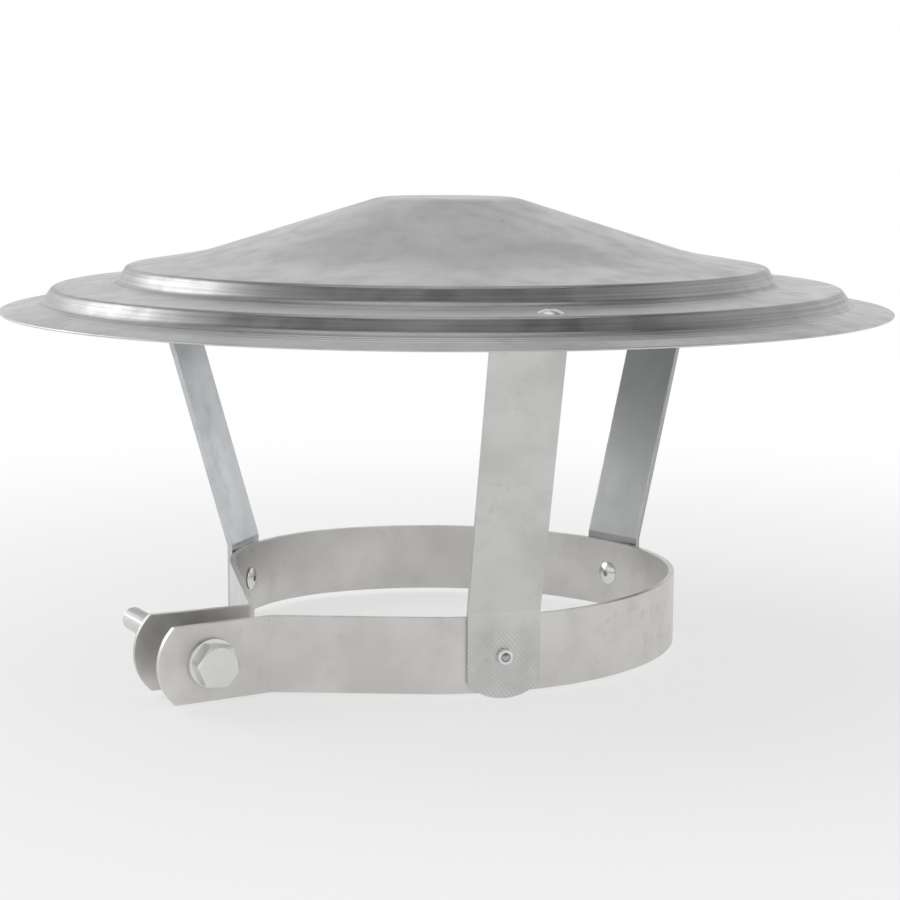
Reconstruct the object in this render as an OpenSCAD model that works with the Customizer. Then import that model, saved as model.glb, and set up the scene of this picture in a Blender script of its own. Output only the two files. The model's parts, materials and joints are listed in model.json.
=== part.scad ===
// Rain cap for a round flue: a pressed steel hood on three bar legs, which are
// riveted to a split clamp band that a bolt draws tight round the flue.
// Millimetres, +Z up. The origin lies under the centre of the hood, at the level
// of the leg ends that the cap stands on. The front is -Y.
// An azimuth is measured from the front, and grows towards +X.

/* [Bar stock] */
// Thickness of the flat bar of the band and the legs
bar_t = 2; // [1.5:0.1:3]
// Radius inside every bend of the bar
bend_r = 2; // [1:0.25:4]
// Radius of the rounded bar ends
end_r = 17; // [15:0.5:30]

/* [Clamp band] */
// Width of the band bar, which is the height of the band
band_w = 25; // [20:0.5:30]
// Centre of the front arc of the band, left (-) or right (+) of the hood's axis
band_x = -4.5; // [-8:0.1:8]
// Centre of the front arc of the band, behind the hood's axis
band_y = 8.3; // [0:0.1:12]
// Azimuth at which the front arc starts
band_start = -2.1; // [-10:0.1:5]
// Outer radius of the front arc
front_r = 87.1; // [78:0.1:92]
// Sweep of the front arc
front_sweep = 72.4; // [60:0.1:80]
// Outer radius of the right arc
right_r = 69.1; // [62:0.1:74]
// Sweep of the right arc
right_sweep = 66; // [58:0.1:72]
// Outer radius of the back arc
back_r = 94.6; // [86:0.1:100]
// Sweep of the back arc
back_sweep = 68.1; // [60:0.1:76]
// Outer radius of the left arc
left_r = 58.9; // [54:0.1:64]
// Sweep of the left arc
left_sweep = 77; // [72:0.1:82]
// Straight stretch from the front arc to the bend of the front ear
front_arm = 48.3; // [42:0.1:54]
// Straight stretch from the left arc to the bend of the rear ear
rear_arm = 65.9; // [60:0.1:70]

/* [Ears] */
// Bend of the front ear
front_bend = 32.1; // [24:0.1:40]
// Bend of the rear ear
rear_bend = 76.4; // [70:0.1:84]
// Bend of the front ear to its bolt hole
front_hole = 20.8; // [18:0.1:26]
// Bolt hole to the corners of either ear
ear_tail = 12.2; // [10:0.1:16]
// Diameter of the bolt holes in the ears
ear_hole_d = 9.6; // [9:0.1:11]

/* [Legs] */
// Width of the leg bar
leg_w = 24; // [18:0.5:28]
// Azimuth of each leg's rivet on the band
leg_at = [15.2, 132.5, 249.9]; // [0:0.1:360]
// Turn of each leg away from square to the band
leg_twist = [-2, 1.7, 1.5]; // [-3:0.1:3]
// Top bend to the hood's rivet on each leg
leg_flange = [19, 16.8, 13.3]; // [11:0.1:22]
// Rivet in the flange to the rounded end
flange_tail = 5.5; // [4.5:0.1:6]
// Reach of the rounded leg ends below the band
foot_drop = 1.5; // [0.5:0.1:4]
// Top edge of the band to the lower bend of the legs
leg_bend_up = 2; // [1:0.1:8]
// Top edge of the band to the underside of the hood's terrace, at the rivets
hood_lift = 101; // [70:0.5:140]

/* [Hood] */
// Overall diameter of the hood
hood_d = 307.4; // [300:0.2:330]
// Thickness of the sheet
sheet_t = 0.7; // [0.5:0.1:1.2]
// Radius of the flat crown
crown_r = 23.5; // [16:0.5:32]
// Slope of the cone
cone_pitch = 17.3; // [14:0.1:20]
// Radius at which the cone eases into the shoulder
shoulder_r = 86; // [76:0.5:94]
// Slope of the shoulder
shoulder_pitch = 9; // [6:0.1:12]
// Radius of the upper step, at its top edge
upper_step_r = 111.1; // [106:0.1:113]
// Radial run of the upper step
upper_step_run = 3.2; // [2:0.1:4]
// Drop of the upper step
upper_step_drop = 5.6; // [4:0.1:8]
// Slope of the terrace, which the legs are riveted to
terrace_pitch = 3; // [1:0.1:4]
// Radius of the lower step, at its top edge
lower_step_r = 136; // [135.6:0.1:140]
// Radial run of the lower step
lower_step_run = 3.6; // [2:0.1:5]
// Drop of the lower step
lower_step_drop = 5; // [4:0.1:8]
// Slope of the brim
brim_pitch = 10.4; // [6:0.1:14]
// Radius of the circle that the hood's rivets lie on
hood_rivet_r = 128.5; // [127:0.1:129.5]
// Height of the fine pressing beads
bead_h = 0.25; // [0.1:0.05:0.4]
// Width of the fine pressing beads
bead_w = 0.9; // [0.6:0.1:1.2]

/* [Rivets] */
// Diameter of the blind rivets
rivet_d = 4; // [3.2:0.1:4.8]
// Diameter of the rivet heads
rivet_head_d = 8.2; // [7.4:0.1:9.2]
// Height of the rivet heads
rivet_head_h = 1.2; // [0.8:0.1:1.6]
// Diameter of the set tails
rivet_tail_d = 5; // [4.9:0.1:6]
// Height of the set tails
rivet_tail_h = 2.2; // [1.8:0.1:3]
// Diameter of the mandrels
mandrel_d = 2; // [1.6:0.1:2.3]
// Diameter of the mandrel heads
mandrel_head_d = 2.9; // [2.5:0.1:3.1]

/* [Clamp bolt] */
// Thread diameter of the bolt
bolt_d = 8; // [6:0.5:8.5]
// Length of the bolt under its head
bolt_l = 70; // [62:1:80]
// Width across the flats of the head and the nut
hex_af = 13; // [12:0.5:15]
// Height of the bolt head
head_h = 5.3; // [4:0.1:7]
// Turn of the head's corners from level
head_turn = -8; // [-30:1:30]
// Height of the nut
nut_h = 6.5; // [5:0.1:8]
// Outer diameter of the washer
washer_d = 16; // [14:0.5:20]
// Thickness of the washer
washer_t = 1.6; // [1:0.1:2]
// Clearance round the bolt in the washer, on the radius
washer_clear = 0.2; // [0.1:0.05:0.3]

/* [Hidden] */
$fn = 96;
arc_step = 2.5;
eps = 0.01;

// Clearances: flat faces that seat, rivets and mandrels in their holes, the nut on its thread
seat = 0.05;
rivet_clear = 0.05;
rivet_hole_d = rivet_d + 2 * rivet_clear;
mandrel_clear = 0.05;
thread_clear = 0.05;

// Blends of the pressed sheet, measured on its upper face
crown_blend = 22;
shoulder_blend = 90;
edge_blend = 2.2;
hollow_blend = 3.6;
bead_pitch = 1.9;

// Chamfers of the bolt, the nut and the washer
tip_chamfer = 1;
hex_chamfer = 30;
washer_chamfer = 0.2;

// Reach of a rounded end past its corners, for a bar of width w
function bulge(w) = end_r - sqrt(end_r ^ 2 - w ^ 2 / 4);
end_trim = 1;

// Levels
band_z = foot_drop;
band_top = band_z + band_w;
rivet_z = band_z + band_w / 2;
leg_bend_z = band_top + leg_bend_up;
terrace_under = band_top + hood_lift;

// Directions on the floor: out towards an azimuth, and along the band at that azimuth
function out(a) = [sin(a), -cos(a)];
function along(a) = [cos(a), sin(a)];

// The band is a chain of four arcs, each tangent to the next
arc_r = [front_r, right_r, back_r, left_r];
arc_sweep = [front_sweep, right_sweep, back_sweep, left_sweep];
function arc_start(i) = i == 0 ? band_start : arc_start(i - 1) + arc_sweep[i - 1];
function arc_centre(i) =
    i == 0 ? [band_x, band_y] : arc_centre(i - 1) + (arc_r[i - 1] - arc_r[i]) * out(arc_start(i));
function arc_at(a) = a < arc_start(1) ? 0 : a < arc_start(2) ? 1 : a < arc_start(3) ? 2 : 3;
function band_point(a) = arc_centre(arc_at(a)) + arc_r[arc_at(a)] * out(a);
band_end = arc_start(3) + left_sweep;
function arc_corner(i) =
    arc_centre(i) + arc_r[i] * (out(arc_start(i)) + tan(arc_sweep[i] / 2) * along(arc_start(i)));

// Ears: sharp corner of the outer faces, direction of the ear, and outward normal
front_corner = band_point(band_start) - front_arm * along(band_start);
front_ear = sin(front_bend) * out(band_start) - cos(front_bend) * along(band_start);
rear_corner = band_point(band_end) + rear_arm * along(band_end);
rear_ear = sin(rear_bend) * out(band_end) + cos(rear_bend) * along(band_end);

// The bolt stands square on the front ear, and the rear ear is drilled where the bolt meets it
bolt_az = band_start + front_bend;
bolt_foot = front_corner + front_hole * front_ear;
rear_normal = sin(rear_bend) * along(band_end) - cos(rear_bend) * out(band_end);
rear_mid = rear_corner + bar_t / 2 * rear_normal;
rear_reach = (rear_mid - bolt_foot) * rear_normal / (-out(bolt_az) * rear_normal);
rear_hole = (bolt_foot - rear_reach * out(bolt_az) - rear_mid) * rear_ear;
rear_back = (rear_corner - bolt_foot) * rear_normal / (-out(bolt_az) * rear_normal);
ear_skew = acos(out(bolt_az) * rear_normal);

// Ear ends, and the plan of the band's outer face from one ear to the other
front_tip = front_corner + (front_hole + ear_tail + bulge(band_w)) * front_ear;
rear_tip = rear_corner + (rear_hole + ear_tail + bulge(band_w)) * rear_ear;
band_corners = [
    [front_tip[0], front_tip[1], 0],
    [front_corner[0], front_corner[1], bend_r],
    for (i = [0 : 3]) [arc_corner(i)[0], arc_corner(i)[1], arc_r[i]],
    [rear_corner[0], rear_corner[1], bend_r],
    [rear_tip[0], rear_tip[1], 0]
];

// The washer, the head and the nut along the bolt, from the outer face of the front ear
washer_seat = seat;
head_seat = washer_seat + washer_t + seat;
hex_r = hex_af / 2 / cos(30);
nut_seat = rear_back + hex_r * tan(ear_skew) + seat;

// Legs: azimuth, foot on the band, and reach out to the hood's rivet
function leg_az(i) = leg_at[i] + leg_twist[i];
function leg_foot(i) = band_point(leg_at[i]);
function inward(i) = leg_foot(i) * out(leg_az(i));
function leg_reach(i) =
    sqrt(inward(i) ^ 2 - leg_foot(i) * leg_foot(i) + hood_rivet_r ^ 2) - inward(i);

// A flat tab on a round band touches along one line, so its middle stands off by this much
function tab_gap(i) = seat + arc_r[arc_at(leg_at[i])] * (1 - cos(leg_twist[i]));
function tab_face(i) = tab_gap(i) + bar_t;

// The same for the flat underside of a rivet head inside the band
function head_gap(i) =
    seat + rivet_head_d ^ 2 / 8 / (arc_r[arc_at(leg_at[i])] - bar_t)
    + rivet_head_d / 2 * tan(abs(leg_twist[i]));

// Legs in their own plane, on the outer face: lower bend, upper bend, lean from upright
function lower_bend(i) = [tab_face(i), leg_bend_z];
function upper_bend(i) =
    [leg_reach(i), terrace_under]
    - (seat + bar_t) * [sin(terrace_pitch), cos(terrace_pitch)]
    - leg_flange[i] * [cos(terrace_pitch), -sin(terrace_pitch)];
function flange_tip(i) =
    upper_bend(i)
    + (leg_flange[i] + flange_tail) * [cos(terrace_pitch), -sin(terrace_pitch)];
function leg_corners(i) = [
    [tab_face(i), 0, 0],
    [lower_bend(i)[0], lower_bend(i)[1], bend_r],
    [upper_bend(i)[0], upper_bend(i)[1], bend_r],
    [flange_tip(i)[0], flange_tip(i)[1], 0]
];

// Hood: the upper face, from the centre to the rim, as corners of radius, height and blend
terrace_z = terrace_under + sheet_t / cos(terrace_pitch);
upper_foot_r = upper_step_r + upper_step_run;
lower_foot_r = lower_step_r + lower_step_run;
upper_foot_z = terrace_z + (hood_rivet_r - upper_foot_r) * tan(terrace_pitch);
upper_step_z = upper_foot_z + upper_step_drop;
shoulder_z = upper_step_z + (upper_step_r - shoulder_r) * tan(shoulder_pitch);
crown_z = shoulder_z + (shoulder_r - crown_r) * tan(cone_pitch);
lower_step_z = terrace_z - (lower_step_r - hood_rivet_r) * tan(terrace_pitch);
lower_foot_z = lower_step_z - lower_step_drop;
rim_z = lower_foot_z - (hood_d / 2 - lower_foot_r) * tan(brim_pitch);
hood_corners = [
    [0, crown_z, 0],
    [crown_r, crown_z, crown_blend],
    [shoulder_r, shoulder_z, shoulder_blend],
    [upper_step_r, upper_step_z, edge_blend],
    [upper_foot_r, upper_foot_z, hollow_blend],
    [lower_step_r, lower_step_z, edge_blend],
    [lower_foot_r, lower_foot_z, hollow_blend],
    [hood_d / 2, rim_z, 0]
];

// Points and normals along a line whose corners are rounded; a corner is x, y and its radius
function unit(v) = v / norm(v);
function left_of(v) = [-v[1], v[0]];
function xy(c) = [c[0], c[1]];
function turned(v, t) = [v[0] * cos(t) - v[1] * sin(t), v[0] * sin(t) + v[1] * cos(t)];
function turn_between(a, b) = atan2(a[0] * b[1] - a[1] * b[0], a * b);
function corner_arc(c, i) =
    let (
        a = unit(xy(c[i]) - xy(c[i - 1])),
        turn = turn_between(a, unit(xy(c[i + 1]) - xy(c[i]))),
        r = c[i][2] * sign(turn),
        middle = xy(c[i]) - r * tan(turn / 2) * a + r * left_of(a),
        steps = ceil(abs(turn) / arc_step)
    )
    [for (k = [0 : steps]) let (n = turned(left_of(a), turn * k / steps)) [middle - r * n, n]];
function rounded(c) = [
    [xy(c[0]), left_of(unit(xy(c[1]) - xy(c[0])))],
    for (i = [1 : len(c) - 2]) each corner_arc(c, i),
    [xy(c[len(c) - 1]), left_of(unit(xy(c[len(c) - 1]) - xy(c[len(c) - 2])))]
];

// Section of a sheet or bar of thickness t, on the left of that line, or on its right if t < 0
module bent_section(c, t) {
    line = rounded(c);
    back = [for (i = [len(line) - 1 : -1 : 0]) line[i][0] + t * line[i][1]];
    polygon(concat([for (p = line) p[0]], back));
}

// Fine ring on the upper face of the sheet, left by the pressing tool
module bead(r, z, pitch) {
    rotate_extrude()
        translate([r, z])
            rotate(-pitch)
                polygon([
                    [-bead_w / 2, -sheet_t / 2],
                    [-bead_w / 2, 0],
                    [-bead_w / 6, bead_h],
                    [bead_w / 6, bead_h],
                    [bead_w / 2, 0],
                    [bead_w / 2, -sheet_t / 2]
                ]);
}

// What is cut from a bar of width w to round its end; the end is at the origin, the bar along -X
module end_cut(w) {
    linear_extrude(4 * bar_t, center = true)
        difference() {
            translate([-bulge(w) - end_trim, -w])
                square([bulge(w) + 2 * end_trim, 2 * w]);
            translate([-end_r, 0])
                circle(r = end_r, $fn = 192);
        }
}

// Places on the bolt's axis (+Z out of the head) and at the rivets (+Z out of their heads)
module on_bolt(depth) {
    translate([bolt_foot[0], bolt_foot[1], rivet_z])
        rotate([90, 0, bolt_az])
            translate([0, 0, -depth])
                children();
}

module on_leg(i) {
    translate([leg_foot(i)[0], leg_foot(i)[1], 0])
        rotate([0, 0, leg_az(i) - 90])
            children();
}

module at_band_rivet(i) {
    on_leg(i)
        translate([-bar_t - head_gap(i), 0, rivet_z])
            rotate([0, -90, 0])
                children();
}

module at_hood_rivet(i) {
    on_leg(i)
        translate([leg_reach(i), 0, terrace_under])
            rotate([0, terrace_pitch, 0])
                translate([0, 0, sheet_t + seat])
                    children();
}

function band_grip(i) = head_gap(i) + bar_t + tab_face(i);
hood_grip = sheet_t + 2 * seat + bar_t;

module rivet_hole(grip) {
    translate([0, 0, -grip - rivet_head_d / 2])
        cylinder(d = rivet_hole_d, h = grip + rivet_head_d);
}

// Set blind rivet: domed head, hollow shank, and a tail that its mandrel has spread
module blind_rivet(grip) {
    bore_d = mandrel_d + 2 * mandrel_clear;
    dome_r = (rivet_head_d ^ 2 / 4 + rivet_head_h ^ 2) / 2 / rivet_head_h;
    difference() {
        union() {
            intersection() {
                translate([0, 0, rivet_head_h - dome_r])
                    sphere(r = dome_r);
                cylinder(d = rivet_head_d, h = rivet_head_h);
            }
            translate([0, 0, -grip - rivet_tail_h / 2])
                cylinder(d = rivet_d, h = grip + rivet_tail_h / 2 + eps);
            translate([0, 0, -grip - seat - rivet_tail_h])
                rotate_extrude()
                    tail_section();
        }
        translate([0, 0, -grip - 2 * rivet_tail_h])
            cylinder(d = bore_d, h = grip + 2 * rivet_tail_h + 2 * rivet_head_h);
        translate([0, 0, -grip - seat - rivet_tail_h - eps])
            cylinder(d = mandrel_head_d + 2 * mandrel_clear, h = rivet_tail_h * 0.6 + eps);
    }
}

// Half section of the tail, with its end at the origin
module tail_section() {
    r = rivet_tail_d / 2;
    lip = 0.4;
    polygon([
        [0, 0],
        [r - lip, 0],
        [r - lip / 4, lip / 3],
        [r, lip],
        [r, rivet_tail_h - lip],
        [r - lip, rivet_tail_h],
        [0, rivet_tail_h]
    ]);
}

// What is left of the mandrel: its pin, broken off inside the head, and its ball-ended head
module mandrel(grip) {
    seat_z = -grip - seat - rivet_tail_h * 0.4 - mandrel_clear;
    ball_z = -grip - seat - rivet_tail_h + mandrel_head_d / 6;
    translate([0, 0, seat_z - eps])
        cylinder(d = mandrel_d, h = -seat_z - rivet_head_h / 4);
    translate([0, 0, ball_z])
        cylinder(d = mandrel_head_d, h = seat_z - ball_z);
    intersection() {
        translate([0, 0, ball_z])
            sphere(d = mandrel_head_d);
        translate([0, 0, ball_z - mandrel_head_d])
            cylinder(d = 2 * mandrel_head_d, h = mandrel_head_d + eps);
    }
}

// Hexagon whose corners are turned away on one face or on both
module hex_body(h, both) {
    corner = hex_r - hex_af * 0.475;
    drop = corner * tan(hex_chamfer);
    intersection() {
        cylinder(r = hex_r, h = h, $fn = 6);
        union() {
            translate([0, 0, h - drop])
                cylinder(r1 = hex_r, r2 = hex_r - corner, h = drop);
            translate([0, 0, both ? drop : 0])
                cylinder(r = hex_r, h = h - drop - (both ? drop : 0));
            if (both)
                cylinder(r1 = hex_r - corner, r2 = hex_r, h = drop);
        }
    }
}

module hood() {
    color("gainsboro")
        difference() {
            union() {
                rotate_extrude($fn = 192)
                    bent_section(hood_corners, -sheet_t);
                for (k = [0 : 1]) {
                    r = upper_foot_r + hollow_blend / 2 + (k + 0.5) * bead_pitch;
                    bead(r, upper_foot_z - (r - upper_foot_r) * tan(terrace_pitch), terrace_pitch);
                }
                for (k = [0 : 2]) {
                    r = lower_foot_r + hollow_blend / 2 + (k + 0.5) * bead_pitch;
                    bead(r, lower_foot_z - (r - lower_foot_r) * tan(brim_pitch), brim_pitch);
                }
            }
            for (i = [0 : 2])
                at_hood_rivet(i)
                    rivet_hole(hood_grip);
        }
}

// One strip of bar with rounded ears, drilled for the bolt and for the three rivets
module clamp_band() {
    color("silver")
        difference() {
            translate([0, 0, band_z])
                linear_extrude(band_w)
                    bent_section(band_corners, bar_t);
            translate([front_tip[0], front_tip[1], rivet_z])
                rotate([90, 0, bolt_az + 180])
                    end_cut(band_w);
            translate([rear_tip[0], rear_tip[1], rivet_z])
                rotate([90, 0, bolt_az + 180 - ear_skew])
                    end_cut(band_w);
            on_bolt(bar_t / 2)
                cylinder(d = ear_hole_d, h = 4 * bar_t, center = true);
            on_bolt(rear_reach)
                rotate([0, ear_skew, 0])
                    cylinder(d = ear_hole_d, h = 4 * bar_t, center = true);
            for (i = [0 : 2])
                at_band_rivet(i)
                    rivet_hole(band_grip(i));
        }
}

// Tab on the band, leaning web, and flange under the terrace, bent from one bar
module leg(i) {
    color("lightgray")
        on_leg(i)
            difference() {
                rotate([90, 0, 0])
                    linear_extrude(leg_w, center = true)
                        bent_section(leg_corners(i), bar_t);
                translate([tab_face(i), 0, 0])
                    rotate([0, 90, 0])
                        end_cut(leg_w);
                translate([flange_tip(i)[0], 0, flange_tip(i)[1]])
                    rotate([0, terrace_pitch, 0])
                        end_cut(leg_w);
                translate([0, 0, rivet_z])
                    rotate([0, 90, 0])
                        cylinder(d = rivet_hole_d, h = 4 * bar_t);
                translate([leg_reach(i), 0, terrace_under])
                    rotate([0, terrace_pitch, 0])
                        cylinder(d = rivet_hole_d, h = 6 * bar_t, center = true);
            }
}

module clamp_bolt() {
    color("whitesmoke")
        on_bolt(-head_seat) {
            rotate([0, 0, head_turn])
                hex_body(head_h, false);
            translate([0, 0, tip_chamfer - bolt_l])
                cylinder(d = bolt_d, h = bolt_l - tip_chamfer + eps);
            translate([0, 0, -bolt_l])
                cylinder(d1 = bolt_d - 2 * tip_chamfer, d2 = bolt_d, h = tip_chamfer);
        }
}

module clamp_washer() {
    color("whitesmoke")
        on_bolt(-washer_seat)
            difference() {
                union() {
                    cylinder(d = washer_d, h = washer_t - washer_chamfer);
                    translate([0, 0, washer_t - washer_chamfer])
                        cylinder(d1 = washer_d, d2 = washer_d - 2 * washer_chamfer, h = washer_chamfer);
                }
                translate([0, 0, -washer_t])
                    cylinder(d = bolt_d + 2 * washer_clear, h = 3 * washer_t);
            }
}

module clamp_nut() {
    color("whitesmoke")
        on_bolt(nut_seat + nut_h)
            difference() {
                hex_body(nut_h, true);
                translate([0, 0, -nut_h])
                    cylinder(d = bolt_d + 2 * thread_clear, h = 3 * nut_h);
            }
}

module hood_rivet(i) {
    color("gray")
        at_hood_rivet(i)
            blind_rivet(hood_grip);
}

module hood_mandrel(i) {
    color("dimgray")
        at_hood_rivet(i)
            mandrel(hood_grip);
}

module band_rivet(i) {
    color("gray")
        at_band_rivet(i)
            blind_rivet(band_grip(i));
}

module band_mandrel(i) {
    color("dimgray")
        at_band_rivet(i)
            mandrel(band_grip(i));
}

hood();
clamp_band();
leg(0);  // leg_front
leg(1);  // leg_right
leg(2);  // leg_left
hood_rivet(0);  // hood_rivet_front
hood_rivet(1);  // hood_rivet_right
hood_rivet(2);  // hood_rivet_left
hood_mandrel(0);  // hood_mandrel_front
hood_mandrel(1);  // hood_mandrel_right
hood_mandrel(2);  // hood_mandrel_left
band_rivet(0);  // band_rivet_front
band_rivet(1);  // band_rivet_right
band_rivet(2);  // band_rivet_left
band_mandrel(0);  // band_mandrel_front
band_mandrel(1);  // band_mandrel_right
band_mandrel(2);  // band_mandrel_left
clamp_bolt();
clamp_washer();
clamp_nut();
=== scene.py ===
import json
import math

import bmesh
import bpy
from mathutils import Matrix, Vector


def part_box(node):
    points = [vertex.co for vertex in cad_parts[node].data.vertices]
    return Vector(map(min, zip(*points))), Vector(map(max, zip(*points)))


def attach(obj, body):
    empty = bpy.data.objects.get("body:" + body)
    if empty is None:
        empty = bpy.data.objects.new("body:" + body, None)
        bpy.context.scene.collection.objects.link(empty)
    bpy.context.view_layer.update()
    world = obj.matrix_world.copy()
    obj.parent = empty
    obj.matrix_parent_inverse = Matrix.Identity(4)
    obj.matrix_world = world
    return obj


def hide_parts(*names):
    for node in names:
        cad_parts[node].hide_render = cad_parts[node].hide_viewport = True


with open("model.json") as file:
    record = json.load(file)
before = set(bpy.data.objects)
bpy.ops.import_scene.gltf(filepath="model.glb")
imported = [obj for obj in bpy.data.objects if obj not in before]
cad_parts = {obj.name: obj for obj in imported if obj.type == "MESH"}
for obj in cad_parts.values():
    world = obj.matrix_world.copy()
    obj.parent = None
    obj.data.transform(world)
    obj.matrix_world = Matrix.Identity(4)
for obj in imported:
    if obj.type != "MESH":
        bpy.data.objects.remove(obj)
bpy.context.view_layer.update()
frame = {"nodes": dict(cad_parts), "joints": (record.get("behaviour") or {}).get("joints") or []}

MM = 0.001

# Sizes of the part in millimetres, as in its source
BAR_T, BEND_R, END_R = 2.0, 2.0, 17.0
BAND_W, FOOT_DROP = 25.0, 1.5
FIRST_CENTRE, BAND_START = (-4.5, 8.3), -2.1
ARC_R = (87.1, 69.1, 94.6, 58.9)
ARC_SWEEP = (72.4, 66.0, 68.1, 77.0)
FRONT_ARM, REAR_ARM = 48.3, 65.9
FRONT_BEND, REAR_BEND = 32.1, 76.4
FRONT_HOLE, EAR_TAIL, EAR_HOLE_D = 20.8, 12.2, 9.6
LEG_W, LEG_BEND_UP, HOOD_LIFT, FLANGE_TAIL = 24.0, 2.0, 101.0, 5.5
LEG_AT, LEG_TWIST, LEG_FLANGE = (15.2, 132.5, 249.9), (-2.0, 1.7, 1.5), (19.0, 16.8, 13.3)
LEG_NAMES = ("leg_front", "leg_right", "leg_left")
HOOD_R, SHEET_T, CROWN_R, SHOULDER_R = 153.7, 0.7, 23.5, 86.0
CONE_PITCH, SHOULDER_PITCH, TERRACE_PITCH, BRIM_PITCH = 17.3, 9.0, 3.0, 10.4
UPPER_STEP_R, UPPER_STEP_RUN, UPPER_STEP_DROP = 111.1, 3.2, 5.6
LOWER_STEP_R, LOWER_STEP_RUN, LOWER_STEP_DROP = 136.0, 3.6, 5.0
HOOD_RIVET_R, SEAT = 128.5, 0.05
CROWN_BLEND, SHOULDER_BLEND, EDGE_BLEND, HOLLOW_BLEND = 22.0, 90.0, 2.2, 3.6
BEAD_H, BEAD_W, BEAD_PITCH = 0.14, 0.9, 1.9
BOLT_D, BOLT_L, BOLT_PITCH, THREAD_DEPTH = 8.0, 70.0, 1.25, 0.68
HEX_AF, HEAD_H, HEAD_TURN, NUT_H = 13.0, 5.3, -8.0, 6.5
WASHER_D, WASHER_T, WASHER_BORE = 16.0, 1.6, 8.4
EDGE_ROUND = 0.3

# Fineness of the meshes: degrees in one step of a bend, and points across a bar
ARC_STEP, LEG_ARC_STEP = 1.5, 6.0
BAR_COLUMNS = 25

# Slanting marks of a serrated jaw on the front tab: pitch and waver in metres, slope, and the tab's
# top edge, where the marks and the tab's painted shade fade in
JAW_PITCH, JAW_WAVER = 0.00115, 0.0016
JAW_ALONG, JAW_UP = 0.77, 0.64
TAB_TOP_FADE = (0.021, 0.024)

# Painted dark reflection on the risers of the pressed steps, along their streaks; dents' mottled
# reflection painted darker; painted shade on the front tab below its bend; and the bright metal in the
# jaw's marks
STEP_STREAKS_AND_REFLECTION, DENT_REFLECTION_TONE = (0.27, 0.27, 0.265), (0.36, 0.36, 0.35)
TAB_SHADE_TONE, JAW_BRIGHT = (0.40, 0.40, 0.39), (0.72, 0.72, 0.71)

# Brightness of the light tent by the sine of the height above the horizon
TENT = ((0.0, 0.95), (0.25, 0.90), (0.50, 0.76), (0.66, 0.66), (0.80, 0.16), (1.0, 0.08))


# Plane geometry, with azimuths from the front (-Y) towards +X
def out(azimuth):
    a = math.radians(azimuth)
    return Vector((math.sin(a), -math.cos(a)))


def along(azimuth):
    a = math.radians(azimuth)
    return Vector((math.cos(a), math.sin(a)))


def tan(degrees):
    return math.tan(math.radians(degrees))


def rounded(corners, step=ARC_STEP):
    """Points and left-hand normals along a line whose corners (x, y, radius) are rounded."""
    points = [Vector(c[:2]) for c in corners]
    first = (points[1] - points[0]).normalized()
    line = [(points[0], Vector((-first.y, first.x)))]
    for i in range(1, len(corners) - 1):
        a = (points[i] - points[i - 1]).normalized()
        b = (points[i + 1] - points[i]).normalized()
        turn = math.atan2(a.x * b.y - a.y * b.x, a.dot(b))
        radius = math.copysign(corners[i][2], turn)
        left = Vector((-a.y, a.x))
        middle = points[i] - radius * math.tan(turn / 2) * a + radius * left
        steps = math.ceil(math.degrees(abs(turn)) / step)
        for k in range(steps + 1):
            normal = Matrix.Rotation(turn * k / steps, 2) @ left
            line.append((middle - radius * normal, normal))
    last = (points[-1] - points[-2]).normalized()
    line.append((points[-1], Vector((-last.y, last.x))))
    return line


def arc_start(i):
    return BAND_START + sum(ARC_SWEEP[:i])


def arc_centre(i):
    centre = Vector(FIRST_CENTRE)
    for k in range(i):
        centre += (ARC_R[k] - ARC_R[k + 1]) * out(arc_start(k + 1))
    return centre


def arc_at(azimuth):
    return max(i for i in range(len(ARC_R)) if i == 0 or azimuth >= arc_start(i))


def band_point(azimuth):
    i = arc_at(azimuth)
    return arc_centre(i) + ARC_R[i] * out(azimuth)


# Meshes
def solid(name, verts, faces):
    """Closed mesh from points in millimetres, with every face turned outward."""
    mesh = bpy.data.meshes.new(name)
    mesh.from_pydata([tuple(c * MM for c in v) for v in verts], [], faces)
    mesh.validate()
    shape = bmesh.new()
    shape.from_mesh(mesh)
    bmesh.ops.recalc_face_normals(shape, faces=shape.faces)
    shape.to_mesh(mesh)
    shape.free()
    return mesh


def new_piece(name, verts, faces, body, replaced, smooth_angle=30):
    mesh = solid(name, verts, faces)
    mesh.polygons.foreach_set("use_smooth", [True] * len(mesh.polygons))
    mesh.set_sharp_from_angle(angle=math.radians(smooth_angle))
    piece = bpy.data.objects.new(name, mesh)
    bpy.context.scene.collection.objects.link(piece)
    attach(piece, body)
    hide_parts(replaced)
    return piece


def lathe(profile, segments, closed=True):
    """Turned body: the profile holds (radius, height), and a radius of 0 is one point on the axis."""
    verts, faces, rings = [], [], []
    for r, z in profile:
        if r < 1e-6:
            rings.append([len(verts)] * segments)
            verts.append((0, 0, z))
            continue
        rings.append(list(range(len(verts), len(verts) + segments)))
        for k in range(segments):
            a = 2 * math.pi * k / segments
            verts.append((r * math.cos(a), r * math.sin(a), z))
    pairs = list(zip(rings, rings[1:])) + ([(rings[-1], rings[0])] if closed else [])
    for a, b in pairs:
        if a[0] == a[1] and b[0] == b[1]:
            continue
        for k in range(segments):
            n = (k + 1) % segments
            face = [a[k], a[n], b[n], b[k]]
            faces.append([v for j, v in enumerate(face) if v != face[j - 1]])
    return verts, faces


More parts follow.
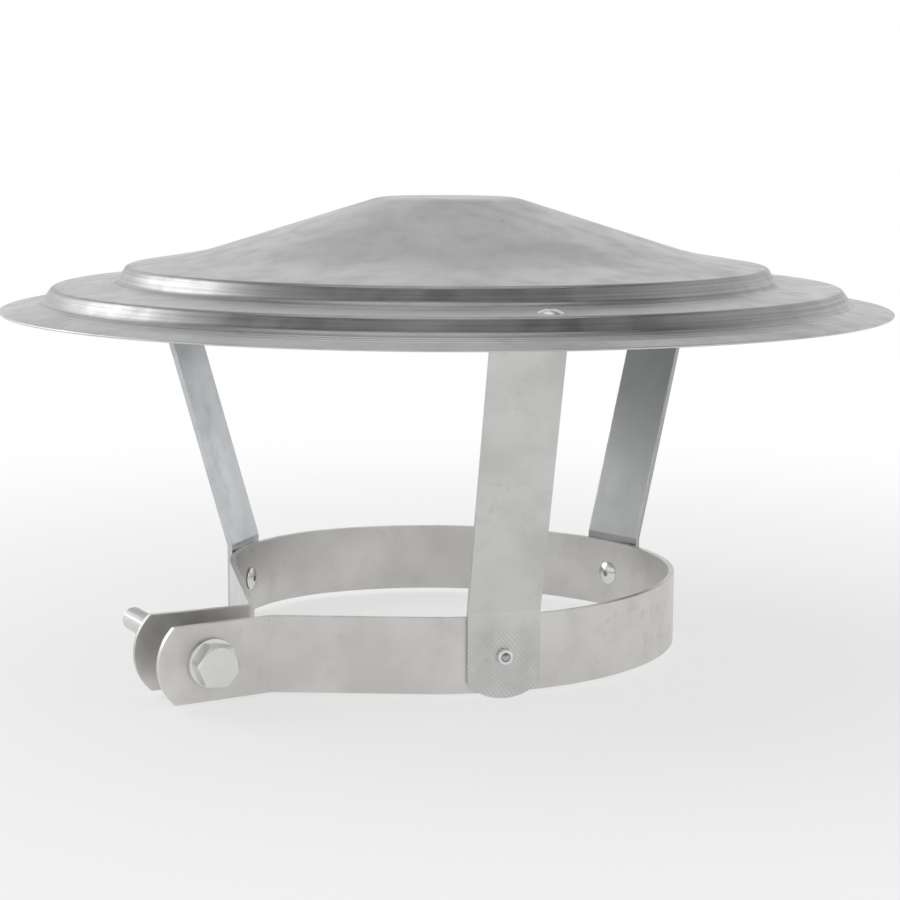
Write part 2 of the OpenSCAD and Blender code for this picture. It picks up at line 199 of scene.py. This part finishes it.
def bar_mesh(line, width, place):
    """Bar of thickness BAR_T on the left of a line, with rounded ends; place makes a 3-D point."""
    columns = BAR_COLUMNS
    offsets = [-width / 2 * math.cos(math.pi * j / (columns - 1)) for j in range(columns)]
    ends = (line[1][0] - line[0][0]).normalized(), (line[-1][0] - line[-2][0]).normalized()
    verts = []
    for depth in (0.0, BAR_T):
        for k, (point, normal) in enumerate(line):
            for w in offsets:
                back = END_R - math.sqrt(END_R ** 2 - w ** 2)
                p = point + depth * normal
                if k == 0:
                    p = p + back * ends[0]
                if k == len(line) - 1:
                    p = p - back * ends[1]
                verts.append(place(p, w))
    faces = []
    rows = len(line)
    inner = rows * columns
    for k in range(rows - 1):
        for j in range(columns - 1):
            a, b = k * columns + j, (k + 1) * columns + j
            faces.append([a, a + 1, b + 1, b])
            faces.append([inner + a, inner + b, inner + b + 1, inner + a + 1])
        for j in (0, columns - 1):
            a, b = k * columns + j, (k + 1) * columns + j
            faces.append([a, b, inner + b, inner + a])
    for k in (0, rows - 1):
        for j in range(columns - 1):
            a = k * columns + j
            faces.append([a, a + 1, inner + a + 1, inner + a])
    return verts, faces


def finish_edges(piece, cutters=()):
    """Cuts the holes, rounds the sharp edges and keeps the result as the piece's own mesh."""
    for cutter in cutters:
        cut = piece.modifiers.new("hole", "BOOLEAN")
        cut.operation, cut.solver, cut.object = "DIFFERENCE", "EXACT", cutter
    bevel = piece.modifiers.new("edges", "BEVEL")
    bevel.width, bevel.segments = EDGE_ROUND * MM, 2
    bevel.limit_method, bevel.angle_limit = "ANGLE", math.radians(40)
    bevel.harden_normals = True
    bpy.context.view_layer.update()
    evaluated = piece.evaluated_get(bpy.context.evaluated_depsgraph_get())
    mesh = bpy.data.meshes.new_from_object(evaluated)
    piece.modifiers.clear()
    piece.data = mesh
    for cutter in cutters:
        bpy.data.objects.remove(cutter)


def hole_cutter(centre, direction, diameter):
    verts, faces = lathe([(0, -6), (diameter / 2, -6), (diameter / 2, 6), (0, 6)], 64, False)
    turn = Vector((0, 0, 1)).rotation_difference(direction).to_matrix()
    mesh = solid("cutter", [turn @ Vector(v) + centre for v in verts], faces)
    cutter = bpy.data.objects.new("cutter", mesh)
    bpy.context.scene.collection.objects.link(cutter)
    return cutter


# Hood: corners of the upper face, from the centre to the rim
BAND_TOP = FOOT_DROP + BAND_W
RIVET_Z = FOOT_DROP + BAND_W / 2
TERRACE_UNDER = BAND_TOP + HOOD_LIFT


def hood_corners():
    terrace_z = TERRACE_UNDER + SHEET_T / math.cos(math.radians(TERRACE_PITCH))
    upper_foot_r = UPPER_STEP_R + UPPER_STEP_RUN
    lower_foot_r = LOWER_STEP_R + LOWER_STEP_RUN
    upper_foot_z = terrace_z + (HOOD_RIVET_R - upper_foot_r) * tan(TERRACE_PITCH)
    upper_step_z = upper_foot_z + UPPER_STEP_DROP
    shoulder_z = upper_step_z + (UPPER_STEP_R - SHOULDER_R) * tan(SHOULDER_PITCH)
    crown_z = shoulder_z + (SHOULDER_R - CROWN_R) * tan(CONE_PITCH)
    lower_step_z = terrace_z - (LOWER_STEP_R - HOOD_RIVET_R) * tan(TERRACE_PITCH)
    lower_foot_z = lower_step_z - LOWER_STEP_DROP
    rim_r = HOOD_R - SHEET_T / 2
    rim_z = lower_foot_z - (rim_r - lower_foot_r) * tan(BRIM_PITCH)
    return [
        (0, crown_z, 0),
        (CROWN_R, crown_z, CROWN_BLEND),
        (SHOULDER_R, shoulder_z, SHOULDER_BLEND),
        (UPPER_STEP_R, upper_step_z, EDGE_BLEND),
        (upper_foot_r, upper_foot_z, HOLLOW_BLEND),
        (LOWER_STEP_R, lower_step_z, EDGE_BLEND),
        (lower_foot_r, lower_foot_z, HOLLOW_BLEND),
        (rim_r, rim_z, 0),
    ]


def with_beads(line):
    """Adds the fine rings that the pressing tool leaves after each step."""
    upper = UPPER_STEP_R + UPPER_STEP_RUN + HOLLOW_BLEND / 2
    lower = LOWER_STEP_R + LOWER_STEP_RUN + HOLLOW_BLEND / 2
    beads = [upper + (k + 0.5) * BEAD_PITCH for k in range(2)]
    beads += [lower + (k + 0.5) * BEAD_PITCH for k in range(3)]
    steps = 8
    result = [line[0]]
    for (a, na), (b, nb) in zip(line, line[1:]):
        for r in beads:
            if a.x < r - BEAD_W / 2 and r + BEAD_W / 2 < b.x:
                for k in range(steps + 1):
                    x = r + BEAD_W * (k / steps - 0.5)
                    rise = BEAD_H * (1 - math.cos(2 * math.pi * k / steps)) / 2
                    result.append((a.lerp(b, (x - a.x) / (b.x - a.x)) + rise * na, na))
        result.append((b, nb))
    return result


def make_hood():
    plain = rounded(hood_corners())
    upper = [tuple(p) for p, n in with_beads(plain)]
    lower = [tuple(p - SHEET_T * n) for p, n in reversed(plain)]
    rim, normal = plain[-1]
    middle = rim - SHEET_T / 2 * normal
    outward = Vector((normal.y, -normal.x))
    hem = [
        tuple(middle + SHEET_T / 2 * (math.cos(a) * normal + math.sin(a) * outward))
        for a in (math.radians(30 * k) for k in range(1, 6))
    ]
    profile = [(max(r, 0), z) for r, z in upper + hem + lower]
    verts, faces = lathe(profile, 320, False)
    return new_piece("pressed_hood", verts, faces, "cap_frame", "hood", 40)


# Clamp band with its two ears
def make_band():
    start, end = BAND_START, arc_start(len(ARC_R))
    front_corner = band_point(start) - FRONT_ARM * along(start)
    front_ear = (math.sin(math.radians(FRONT_BEND)) * out(start)
                 - math.cos(math.radians(FRONT_BEND)) * along(start))
    rear_corner = band_point(end) + REAR_ARM * along(end)
    rear_ear = (math.sin(math.radians(REAR_BEND)) * out(end)
                + math.cos(math.radians(REAR_BEND)) * along(end))
    rear_normal = (math.sin(math.radians(REAR_BEND)) * along(end)
                   - math.cos(math.radians(REAR_BEND)) * out(end))
    axis = out(start + FRONT_BEND)
    foot = front_corner + FRONT_HOLE * front_ear
    rear_mid = rear_corner + BAR_T / 2 * rear_normal
    reach = (rear_mid - foot).dot(rear_normal) / -axis.dot(rear_normal)
    rear_hole = (foot - reach * axis - rear_mid).dot(rear_ear)
    tail = EAR_TAIL + END_R - math.sqrt(END_R ** 2 - BAND_W ** 2 / 4)
    corners = [(*(front_corner + (FRONT_HOLE + tail) * front_ear), 0), (*front_corner, BEND_R)]
    for i, radius in enumerate(ARC_R):
        corner = arc_centre(i) + radius * (
            out(arc_start(i)) + tan(ARC_SWEEP[i] / 2) * along(arc_start(i)))
        corners.append((*corner, radius))
    corners += [(*rear_corner, BEND_R), (*(rear_corner + (rear_hole + tail) * rear_ear), 0)]
    verts, faces = bar_mesh(rounded(corners), BAND_W, lambda p, w: (p.x, p.y, RIVET_Z + w))
    band = new_piece("clamp_bar", verts, faces, "cap_frame", "clamp_band")
    holes = [
        hole_cutter(Vector((*(foot - BAR_T / 2 * axis), RIVET_Z)), Vector((*axis, 0)), EAR_HOLE_D),
        hole_cutter(Vector((*(foot - reach * axis), RIVET_Z)), Vector((*rear_normal, 0)), EAR_HOLE_D),
    ]
    finish_edges(band, holes)
    return band


# Legs: tab on the band, leaning web, and flange under the terrace
def make_leg(i):
    azimuth = LEG_AT[i] + LEG_TWIST[i]
    foot = band_point(LEG_AT[i])
    inward = foot.dot(out(azimuth))
    reach = math.sqrt(inward ** 2 - foot.dot(foot) + HOOD_RIVET_R ** 2) - inward
    twist = math.cos(math.radians(LEG_TWIST[i]))
    face = SEAT + ARC_R[arc_at(LEG_AT[i])] * (1 - twist) + BAR_T
    slope = math.radians(TERRACE_PITCH)
    flange = Vector((math.cos(slope), -math.sin(slope)))
    normal = Vector((math.sin(slope), math.cos(slope)))
    rivet = Vector((reach, TERRACE_UNDER)) - (SEAT + BAR_T) * normal
    upper = rivet - LEG_FLANGE[i] * flange
    tip = rivet + FLANGE_TAIL * flange
    corners = [(face, 0, 0), (face, BAND_TOP + LEG_BEND_UP, BEND_R), (*upper, BEND_R), (*tip, 0)]
    outward, sideways = out(azimuth), along(azimuth)

    def place(p, w):
        xy = foot + p.x * outward + w * sideways
        return xy.x, xy.y, p.y

    verts, faces = bar_mesh(rounded(corners, LEG_ARC_STEP), LEG_W, place)
    leg = new_piece(LEG_NAMES[i] + "_bar", verts, faces, "cap_frame", LEG_NAMES[i])
    finish_edges(leg)
    return leg


# Clamp bolt, washer and nut, along the bolt's joint axis
BOLT_JOINT = next(j for j in frame["joints"] if j["name"] == "bolt_turn")
BOLT_FOOT, BOLT_AXIS = Vector(BOLT_JOINT["pos_m"]), Vector(BOLT_JOINT["axis"]).normalized()


def on_bolt(points):
    """Points with z out of the bolt's head and y up, from the outer face of the front ear."""
    up = Vector((0, 0, 1))
    turn = Matrix((up.cross(BOLT_AXIS), up, BOLT_AXIS)).transposed()
    return [turn @ Vector(p) + BOLT_FOOT / MM for p in points]


def hex_body(height, turn=0.0, bore=0.0, low=0.0, segments=96):
    """Hexagon with its outer corners turned away; one with a bore has both its faces turned."""
    crown, lead = HEX_AF * 0.475, 0.6
    top = low + height
    rings = []

    def ring(radius_at, z_at):
        for k in range(segments):
            angle = 360 * k / segments
            corner = HEX_AF / 2 / math.cos(math.radians(angle % 60 - 30))
            r = radius_at(corner)
            p = r * along(angle + turn)
            rings.append((p.x, p.y, z_at(max(0, r - crown) * tan(30))))

    for share in (0, 0.34, 0.67, 1):
        ring(lambda c: crown + (c - crown) * share, lambda drop: top - drop)
    for share in (1, 0.67, 0.34, 0):
        ring(lambda c: crown + (c - crown) * share, lambda drop: low + (drop if bore else 0))
    if bore:
        ring(lambda c: bore + lead, lambda drop: low)
        ring(lambda c: bore, lambda drop: low + lead)
        ring(lambda c: bore, lambda drop: top - lead)
        ring(lambda c: bore + lead, lambda drop: top)
    count = len(rings) // segments
    faces = []
    for i in range(count if bore else count - 1):
        a, b = i * segments, (i + 1) % count * segments
        for k in range(segments):
            n = (k + 1) % segments
            faces.append([a + k, b + k, b + n, a + n])
    if not bore:
        faces += [list(range(segments)), list(range((count - 1) * segments, count * segments))]
    return rings, faces


def thread(length, top, segments=48, per_turn=16):
    """Threaded shank from height top down: a V groove with flat crests, faded out at the head."""
    rows = math.ceil(length / BOLT_PITCH * per_turn)
    verts, faces = [], []
    for i in range(rows + 1):
        z = top - length * i / rows
        to_tip, to_head = length * (1 - i / rows), length * i / rows
        for k in range(segments):
            phase = (z / BOLT_PITCH - k / segments) % 1
            groove = THREAD_DEPTH * min(1, max(0, 1.25 - abs(4 * phase - 2)))
            groove *= min(1, max(0, (to_head - 1.0) / 1.5))
            r = min(BOLT_D / 2 - groove, BOLT_D / 2 - 1 + to_tip)
            a = 2 * math.pi * k / segments
            verts.append((r * math.cos(a), r * math.sin(a), z))
    for i in range(rows):
        for k in range(segments):
            n = (k + 1) % segments
            a, b = i * segments, (i + 1) * segments
            faces.append([a + k, b + k, b + n, a + n])
    faces += [list(range(segments)), list(range(rows * segments, (rows + 1) * segments))]
    return verts, faces


def joined(*meshes):
    verts, faces = [], []
    for more_verts, more_faces in meshes:
        faces += [[len(verts) + v for v in f] for f in more_faces]
        verts += more_verts
    return verts, faces


def make_bolt():
    head_seat = SEAT + WASHER_T + SEAT
    head = hex_body(HEAD_H, HEAD_TURN, low=head_seat)
    verts, faces = joined(head, thread(BOLT_L + 0.2, head_seat + 0.2))
    return new_piece("threaded_bolt", on_bolt(verts), faces, "bolt",
                     "clamp_bolt", 25)


def make_washer():
    r, bore, c = WASHER_D / 2, WASHER_BORE / 2, 0.2
    low, top = SEAT, SEAT + WASHER_T
    profile = [(bore, low), (bore, top - c / 2), (bore + c / 2, top), (r - 2 * c, top),
               (r - c / 2, top - c / 2), (r, top - 1.5 * c), (r, low + c), (r - c, low)]
    verts, faces = lathe(profile, 96)
    return new_piece("round_washer", on_bolt(verts), faces, "cap_frame",
                     "clamp_washer", 35)


def make_nut():
    low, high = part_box("clamp_nut")
    middle = ((low + high) / 2 - BOLT_FOOT).dot(BOLT_AXIS) / MM
    verts, faces = hex_body(NUT_H, bore=BOLT_D / 2, low=middle - NUT_H / 2)
    return new_piece("hex_nut", on_bolt(verts), faces, "nut",
                     "clamp_nut", 25)


# Materials
class Nodes:
    """Short calls for building one metal's node tree."""

    def __init__(self, name, metallic=1.0):
        self.material = bpy.data.materials.new(name)
        self.material.use_nodes = True
        self.tree = self.material.node_tree
        self.surface = self.tree.nodes["Principled BSDF"]
        self.surface.inputs["Metallic"].default_value = metallic
        self.place = self.node("ShaderNodeTexCoord").outputs["Object"]

    def node(self, kind, **settings):
        made = self.tree.nodes.new(kind)
        for key, value in settings.items():
            setattr(made, key, value)
        return made

    def link(self, source, target):
        self.tree.links.new(source, target)

    def math(self, operation, *values):
        made = self.node("ShaderNodeMath", operation=operation)
        for slot_in, value in zip(made.inputs, values):
            if isinstance(value, (int, float)):
                slot_in.default_value = value
            else:
                self.link(value, slot_in)
        return made.outputs[0]

    def noise(self, scale, detail=4.0, vector=None, stretch=None, turn=(0, 0, 0), rough=0.55):
        vector = vector or self.place
        if stretch:
            mapping = self.node("ShaderNodeMapping")
            mapping.inputs["Scale"].default_value = stretch
            mapping.inputs["Rotation"].default_value = [math.radians(a) for a in turn]
            self.link(vector, mapping.inputs["Vector"])
            vector = mapping.outputs[0]
        made = self.node("ShaderNodeTexNoise")
        made.inputs["Scale"].default_value = scale
        made.inputs["Detail"].default_value = detail
        made.inputs["Roughness"].default_value = rough
        self.link(vector, made.inputs["Vector"])
        return made.outputs["Fac"]

    def ramp(self, value, low, high, low_out=0.0, high_out=1.0):
        made = self.node("ShaderNodeMapRange", interpolation_type="SMOOTHSTEP")
        for key, number in zip(("From Min", "From Max", "To Min", "To Max"),
                               (low, high, low_out, high_out)):
            made.inputs[key].default_value = number
        self.link(value, made.inputs["Value"])
        return made.outputs[0]

    def mix(self, factor, first, second):
        made = self.node("ShaderNodeMix", data_type="RGBA")
        self.link(factor, made.inputs["Factor"])
        for key, value in (("A", first), ("B", second)):
            target = [s for s in made.inputs if s.name == key and s.type == "RGBA"][0]
            if isinstance(value, tuple):
                target.default_value = (*value, 1)
            else:
                self.link(value, target)
        return [s for s in made.outputs if s.type == "RGBA"][0]

    def bumps(self, *heights):
        """Chained bumps of (height, strength, distance in millimetres)."""
        normal = None
        for height, strength, distance in heights:
            made = self.node("ShaderNodeBump")
            made.inputs["Strength"].default_value = strength
            made.inputs["Distance"].default_value = distance * MM
            self.link(height, made.inputs["Height"])
            if normal is not None:
                self.link(normal, made.inputs["Normal"])
            normal = made.outputs[0]
        self.link(normal, self.surface.inputs["Normal"])

    def finish(self, colour, roughness):
        self.link(colour, self.surface.inputs["Base Color"])
        self.link(roughness, self.surface.inputs["Roughness"])
        return self.material


def shade(colour, factor):
    return tuple(c * factor for c in colour)


def zinc(name, colour, roughness, spread=0.10, marks=0.4, grain=0.15, extra=None):
    """Galvanised or zinc-plated steel: cloudy tone, small pits and smudges, faint scratches."""
    n = Nodes(name)
    clouds = n.noise(28, 3)
    patches = n.noise(95, 5, rough=0.62)
    pits = n.ramp(n.noise(420, 3), 0.66, 0.76)
    smudges = n.math("MULTIPLY", n.ramp(n.noise(160, 6, rough=0.7), 0.58, 0.70),
                     n.ramp(n.noise(22, 2), 0.50, 0.62))
    scratches = n.ramp(n.noise(60, 2, stretch=(1, 26, 9), turn=(20, 35, 40)), 0.70, 0.74)
    fine = n.noise(1500, 2)
    tone = n.mix(n.ramp(clouds, 0.35, 0.65), shade(colour, 1 - spread), shade(colour, 1 + spread / 2))
    tone = n.mix(n.ramp(patches, 0.45, 0.75, 0, 0.5), tone, shade(colour, 1 - spread * 1.4))
    tone = n.mix(n.math("MULTIPLY", smudges, marks), tone, shade(colour, 0.55))
    tone = n.mix(n.math("MULTIPLY", pits, marks), tone, shade(colour, 0.6))
    rough = n.ramp(patches, 0.3, 0.75, roughness * 0.85, roughness * 1.25)
    heights = [(clouds, 0.10, 0.5), (patches, 0.06, 0.2), (fine, grain, 0.02),
               (n.math("ADD", pits, scratches), 0.25 * marks, -0.06)]
    if extra:
        tone, more = extra(n, tone)
        heights += more
    n.bumps(*heights)
    return n.finish(tone, rough)


def pressed_marks(n, tone):
    """Streaks that run round the hood, with a painted dark reflection on the two steps' risers along
    them, and dents on its right side whose mottled reflection is painted darker.
    """
    parts = n.node("ShaderNodeSeparateXYZ")
    n.link(n.place, parts.inputs[0])
    x, y, z = parts.outputs
    r = n.math("SQRT", n.math("ADD", n.math("MULTIPLY", x, x), n.math("MULTIPLY", y, y)))
    around = n.node("ShaderNodeCombineXYZ")
    n.link(n.math("MULTIPLY", x, 12.0), around.inputs[0])
    n.link(n.math("MULTIPLY", n.math("ADD", r, n.math("MULTIPLY", z, -1.0)), 900.0), around.inputs[1])
    n.link(n.math("MULTIPLY", y, 12.0), around.inputs[2])
    streaks = n.noise(1, 4, vector=around.outputs[0])

    def near(radius, half):
        return n.ramp(n.math("ABSOLUTE", n.math("SUBTRACT", r, radius * MM)),
                      half * 0.5 * MM, half * MM, 1.0, 0.0)

    # Painted shade: the steps' risers are darkened in colour to stand in for the dark surroundings
    # they reflect, along the pressing streaks
    steps = n.math("MAXIMUM", near(UPPER_STEP_R + UPPER_STEP_RUN / 2, 3.2),
                   near(LOWER_STEP_R + LOWER_STEP_RUN / 2, 3.2))
    right = n.ramp(x, 0.01, 0.09)
    # Dents on the right side as bumps, with their mottled reflection painted in as darker patches
    dents_and_reflection = n.math("MULTIPLY", n.ramp(n.noise(120, 7, stretch=(1, 1.6, 1), rough=0.75), 0.55, 0.66),
                    n.math("MULTIPLY", right, n.ramp(n.noise(30, 2), 0.48, 0.6)))
    # Painted dark reflection on the step risers, then the dents' reflection painted as darker patches
    tone = n.mix(n.math("MULTIPLY", steps, n.ramp(streaks, 0.35, 0.65, 0.45, 0.85)),
                 tone, STEP_STREAKS_AND_REFLECTION)
    tone = n.mix(n.math("MULTIPLY", dents_and_reflection, 0.45), tone, DENT_REFLECTION_TONE)
    return tone, [(streaks, 0.05, 0.03), (dents_and_reflection, 0.2, -0.05)]


def tool_marks(n, tone):
    """Slanting marks of a serrated jaw on the tab of the front leg, and a painted shade that darkens
    the tab below its bend as if it faced downward.
    """
    turned = n.node("ShaderNodeMapping", vector_type="POINT")
    turned.inputs["Rotation"].default_value = (0, 0, math.radians(-(LEG_AT[0] + LEG_TWIST[0])))
    n.link(n.place, turned.inputs["Vector"])
    parts = n.node("ShaderNodeSeparateXYZ")
    n.link(turned.outputs[0], parts.inputs[0])
    x, y, z = parts.outputs
    slant = n.math("ADD", n.math("MULTIPLY", x, JAW_ALONG), n.math("MULTIPLY", z, JAW_UP))
    jitter = n.math("MULTIPLY", n.noise(140, 3), JAW_WAVER)
    wave = n.math("SINE", n.math("MULTIPLY", n.math("ADD", slant, jitter), 2 * math.pi / JAW_PITCH))
    low = n.ramp(z, *TAB_TOP_FADE, 1.0, 0.0)
    worn = n.ramp(n.noise(110, 4), 0.36, 0.58)
    mask = n.math("MULTIPLY", low, worn)
    marks = n.math("MULTIPLY", mask, n.ramp(wave, -0.3, 0.9))
    # Painted shade: the tab below its bend is darkened as if it faced further down
    tone = n.mix(n.math("MULTIPLY", low, 0.28), tone, TAB_SHADE_TONE)
    tone = n.mix(n.math("MULTIPLY", marks, 0.5), tone, JAW_BRIGHT)
    return tone, [(marks, 0.55, 0.12)]


def paint(piece, material):
    piece.data.materials.clear()
    piece.data.materials.append(material)


def dress_cad(names, material):
    for name in names:
        for slot_of in frame["nodes"][name].material_slots:
            slot_of.material = material


# Studio: pale floor, even light, and the camera at the photograph's place
def make_floor():
    verts, faces = lathe([(0, 0), (400, 0), (1500, 0), (6000, 0)], 96, False)
    mesh = bpy.data.meshes.new("studio_floor")
    mesh.from_pydata([tuple(c * MM for c in v) for v in verts], [], faces)
    floor = bpy.data.objects.new("studio_floor", mesh)
    bpy.context.scene.collection.objects.link(floor)
    floor.location.z = -0.0002
    n = Nodes("floor_paint", 0.0)
    distance = n.node("ShaderNodeVectorMath", operation="LENGTH")
    n.link(n.place, distance.inputs[0])
    path = n.node("ShaderNodeLightPath")
    seen = n.math("MAXIMUM", path.outputs["Is Camera Ray"],
                  n.math("MAXIMUM", path.outputs["Is Glossy Ray"],
                         path.outputs["Is Transmission Ray"]))
    far = n.math("MULTIPLY", n.ramp(distance.outputs["Value"], 0.12, 0.55, 0.62, 1.0), seen)
    n.surface.inputs["Base Color"].default_value = (0.9, 0.9, 0.9, 1)
    n.surface.inputs["Roughness"].default_value = 0.9
    glow = n.node("ShaderNodeEmission")
    blend = n.node("ShaderNodeMixShader")
    n.link(far, blend.inputs[0])
    n.link(n.surface.outputs[0], blend.inputs[1])
    n.link(glow.outputs[0], blend.inputs[2])
    n.link(blend.outputs[0], n.tree.nodes["Material Output"].inputs[0])
    floor.data.materials.append(n.material)


def make_world():
    """White as seen; as a light it is bright near the horizon and dim high up, as in a light tent."""
    world = bpy.data.worlds.new("studio")
    bpy.context.scene.world = world
    world.use_nodes = True
    tree = world.node_tree
    link, new = tree.links.new, tree.nodes.new
    place = new("ShaderNodeTexCoord")
    parts = new("ShaderNodeSeparateXYZ")
    link(place.outputs["Generated"], parts.inputs[0])
    ramp = new("ShaderNodeValToRGB")
    for position, level in TENT[1:-1]:
        ramp.color_ramp.elements.new(position)
    for element, (position, level) in zip(ramp.color_ramp.elements, TENT):
        element.position, element.color = position, (level, level, level, 1)
    link(parts.outputs[2], ramp.inputs[0])
    path = new("ShaderNodeLightPath")
    seen = new("ShaderNodeMath")
    seen.operation = "MAXIMUM"
    link(path.outputs["Is Camera Ray"], seen.inputs[0])
    link(path.outputs["Is Transmission Ray"], seen.inputs[1])
    mix = new("ShaderNodeMix")
    mix.data_type = "RGBA"
    link(seen.outputs[0], mix.inputs["Factor"])
    colours = [s for s in mix.inputs if s.type == "RGBA"]
    link(ramp.outputs[0], colours[0])
    colours[1].default_value = (1, 1, 1, 1)
    link([s for s in mix.outputs if s.type == "RGBA"][0], tree.nodes["Background"].inputs[0])


def make_lamp(name, place, power, size):
    lamp = bpy.data.lights.new(name, "AREA")
    lamp.energy, lamp.size = power, size
    made = bpy.data.objects.new(name, lamp)
    bpy.context.scene.collection.objects.link(made)
    made.location = place
    made.rotation_euler = (Vector((0, 0, 0.08)) - Vector(place)).to_track_quat("-Z", "Y").to_euler()


def make_camera():
    distance, height = 0.701585, 0.176942
    pitch, yaw, roll = 0.15303808, -0.00185636, 0.00445394
    camera = bpy.data.objects.new("camera", bpy.data.cameras.new("camera"))
    camera.data.lens, camera.data.sensor_width = 80, 36
    camera.data.clip_start = 0.01
    turn = (Matrix.Rotation(yaw, 4, "Z") @ Matrix.Rotation(math.pi / 2 - pitch, 4, "X")
            @ Matrix.Rotation(roll, 4, "Z"))
    camera.matrix_world = Matrix.Translation((0, -distance, height)) @ turn
    bpy.context.scene.collection.objects.link(camera)
    bpy.context.scene.camera = camera


make_camera()
make_world()
make_floor()
make_lamp("overhead", (-0.1, 0.1, 1.5), 4, 1.2)
make_lamp("left", (-1.3, 0.5, 0.7), 6, 0.9)
bpy.context.scene.view_settings.view_transform = "Standard"

paint(make_hood(), zinc("galvanised_sheet", (0.57, 0.575, 0.57), 0.34, extra=pressed_marks))
paint(make_band(), zinc("band_zinc", (0.66, 0.65, 0.63), 0.36, marks=0.3))
for i in range(len(LEG_NAMES)):
    # Painted shade: the three legs are one galvanised steel, and their different tints, darkest on the
    # right leg, stand in for how light falls on each
    leg_tint_and_shade = ((0.62, 0.62, 0.61), (0.44, 0.45, 0.45), (0.60, 0.62, 0.635))[i]
    paint(make_leg(i), zinc(LEG_NAMES[i] + "_zinc", leg_tint_and_shade, 0.36, marks=0.3,
                            extra=tool_marks if i == 0 else None))
bolt_zinc = zinc("bolt_zinc", (0.76, 0.76, 0.75), 0.22, spread=0.06, marks=0.2, grain=0.05)
for piece in (make_bolt(), make_washer(), make_nut()):
    paint(piece, bolt_zinc)
sides = ("front", "right", "left")
places = ("hood", "band")
dress_cad([f"{p}_rivet_{s}" for p in places for s in sides],
          zinc("rivet_alloy", (0.78, 0.78, 0.77), 0.24, spread=0.05, marks=0.15, grain=0.05))
dress_cad([f"{p}_mandrel_{s}" for p in places for s in sides],
          zinc("mandrel_steel", (0.45, 0.45, 0.45), 0.32, spread=0.1, marks=0.2))
